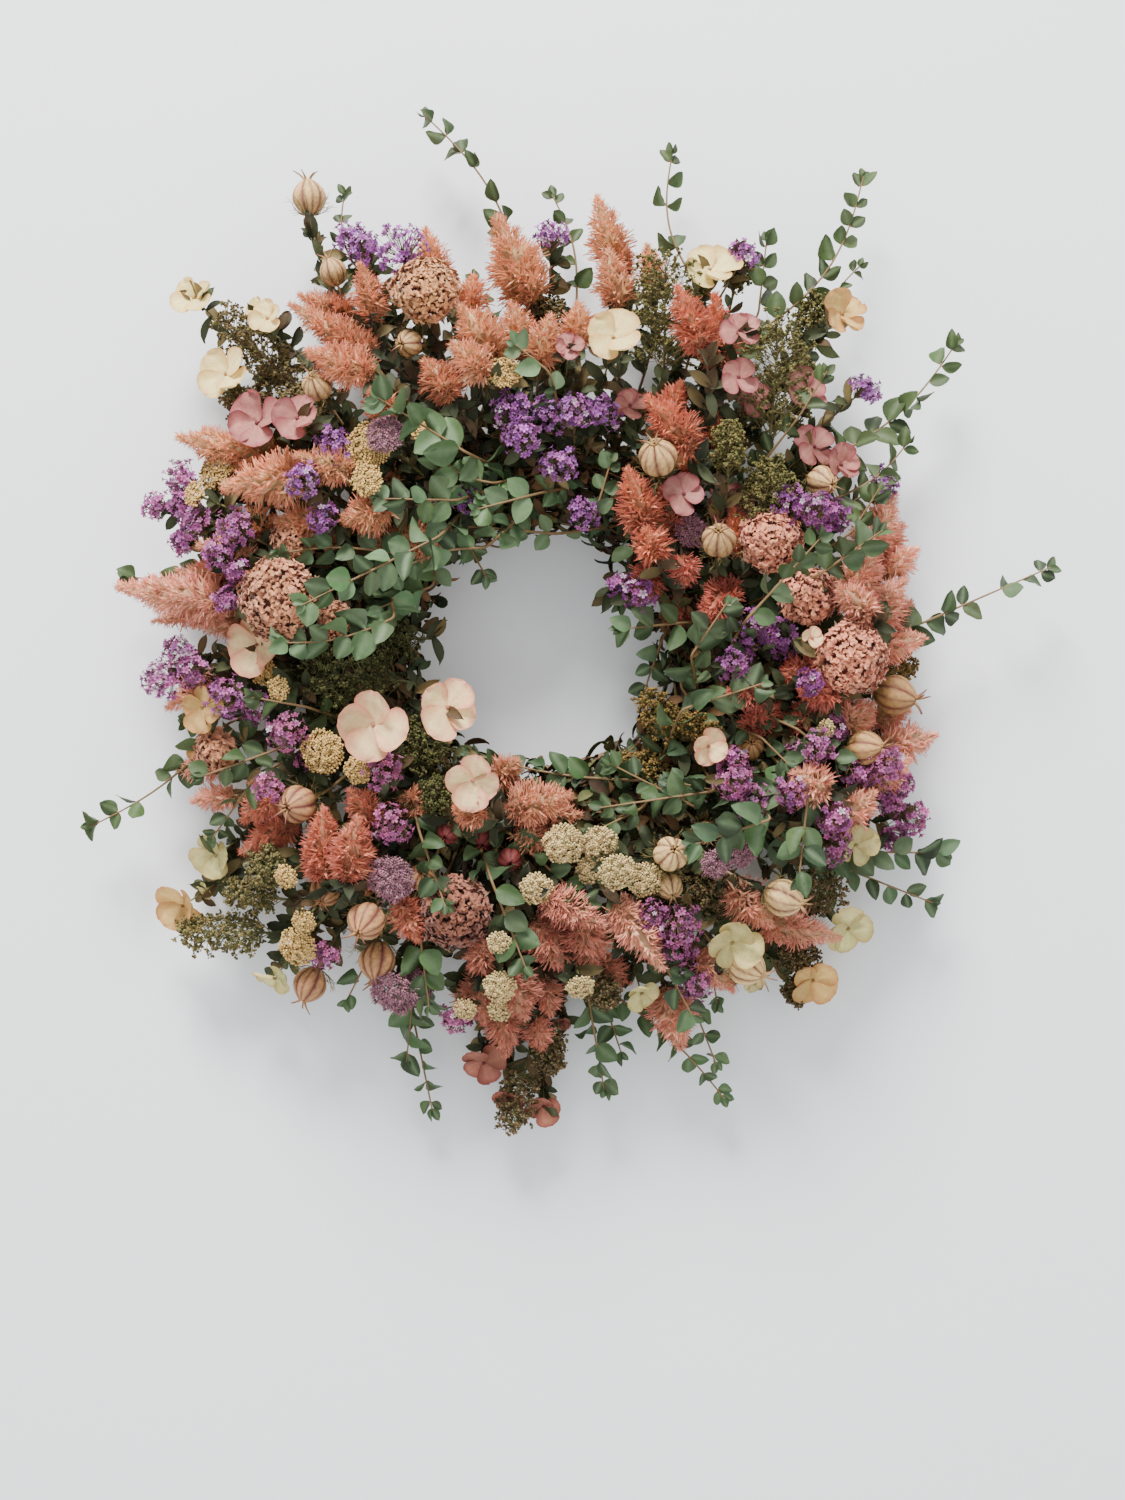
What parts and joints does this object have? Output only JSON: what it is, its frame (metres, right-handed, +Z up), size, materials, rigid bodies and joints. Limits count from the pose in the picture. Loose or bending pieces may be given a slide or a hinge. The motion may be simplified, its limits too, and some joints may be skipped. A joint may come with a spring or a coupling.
{
  "type": "harvest door wreath",
  "caption": "Round door wreath of dried celosia, hydrangea, statice, yarrow, seed pods and eucalyptus bound to a wire frame, with a wire hanging loop at the top.",
  "frame": {"origin": "inside top of the hanging loop's bow, where the hook bears", "axes": "+Z up along the hanging line, -Y out of the door towards the viewer, +X to the right of the wreath seen from the front; the door face is the plane y = +8 mm"},
  "size_m": [0.5558, 0.1065, 0.5907],
  "materials": {
    "loop_wire": "plain drawn wire, dull",
    "frame_wire": "dark painted wire",
    "binding_wire": "thin dark green painted wire",
    "dried_stems": "dry, fibrous, dull",
    "celosia_peach": "dry papery tepals, faint sheen",
    "celosia_pink": "dry papery tepals, faint sheen",
    "celosia_coral": "dry papery tepals, faint sheen",
    "celosia_tan": "dry papery tepals, dull",
    "cockscomb_rose": "velvety, folded",
    "cockscomb_sienna": "velvety, folded",
    "nigella_pod": "dry shell with a veined net",
    "hydrangea_cream": "thin, veined, matte",
    "hydrangea_mauve": "thin, veined, matte",
    "hydrangea_ochre": "thin, veined, matte",
    "seed_head": "fine dry buds",
    "yarrow": "grainy, matte",
    "ageratum": "grainy, matte",
    "statice": "papery, matte",
    "eucalyptus": "leathery, matte"
  },
  "bodies": {
    "hanger": {"hang_loop": "loop_wire"},
    "wreath": {"wire_ring_outer": "frame_wire", "wire_ring_outer_raised": "frame_wire", "wire_ring_inner_raised": "frame_wire", "wire_ring_inner": "frame_wire", "wire_cross_bars": "frame_wire", "binding_wire": "binding_wire", "stem_bundle_top": "dried_stems", "stem_bundle_right": "dried_stems", "stem_bundle_bottom": "dried_stems", "stem_bundle_left": "dried_stems", "celosia_top": "celosia_peach", "celosia_top_left": "celosia_peach", "celosia_upper_left": "celosia_peach", "celosia_left": "celosia_pink", "celosia_lower_left": "celosia_coral", "celosia_bottom": "celosia_coral", "celosia_bottom_inner": "celosia_tan", "celosia_lower_right": "celosia_pink", "celosia_right": "celosia_pink", "celosia_right_inner": "celosia_coral", "celosia_top_right": "celosia_coral", "cockscomb_top": "cockscomb_rose", "cockscomb_left": "cockscomb_rose", "cockscomb_right": "cockscomb_rose", "cockscomb_bottom": "cockscomb_sienna", "nigella_pods_top": "nigella_pod", "nigella_pods_right": "nigella_pod", "nigella_pods_lower_right": "nigella_pod", "nigella_pods_lower_left": "nigella_pod", "nigella_pods_inner": "nigella_pod", "hydrangea_cream_top": "hydrangea_cream", "hydrangea_mauve_top": "hydrangea_mauve", "hydrangea_cream_left": "hydrangea_cream", "hydrangea_ochre_outer": "hydrangea_ochre", "hydrangea_green_outer": "hydrangea_ochre", "hydrangea_rose_bottom": "hydrangea_mauve", "seed_heads_top_left": "seed_head", "seed_heads_top_right": "seed_head", "seed_heads_left": "seed_head", "seed_heads_lower_left": "seed_head", "seed_heads_bottom": "seed_head", "seed_heads_right": "seed_head", "yarrow_left": "yarrow", "yarrow_bottom": "yarrow", "ageratum_left": "ageratum", "statice_top": "statice", "statice_left": "statice", "statice_lower_left": "statice", "statice_right": "statice", "statice_bottom": "statice", "eucalyptus_top": "eucalyptus", "eucalyptus_top_right": "eucalyptus", "eucalyptus_upper_left": "eucalyptus", "eucalyptus_left": "eucalyptus", "eucalyptus_bottom": "eucalyptus", "eucalyptus_bottom_inner": "eucalyptus", "eucalyptus_lower_right": "eucalyptus", "eucalyptus_right": "eucalyptus", "eucalyptus_right_inner": "eucalyptus"}
  },
  "joints": [
    {"name": "wreath_swing", "type": "hinge", "parent": "hanger", "child": "wreath", "pos_m": [0, 0, -0.02377], "axis": [-1, 0, 0], "range_deg": [0, 8]}
  ]
}
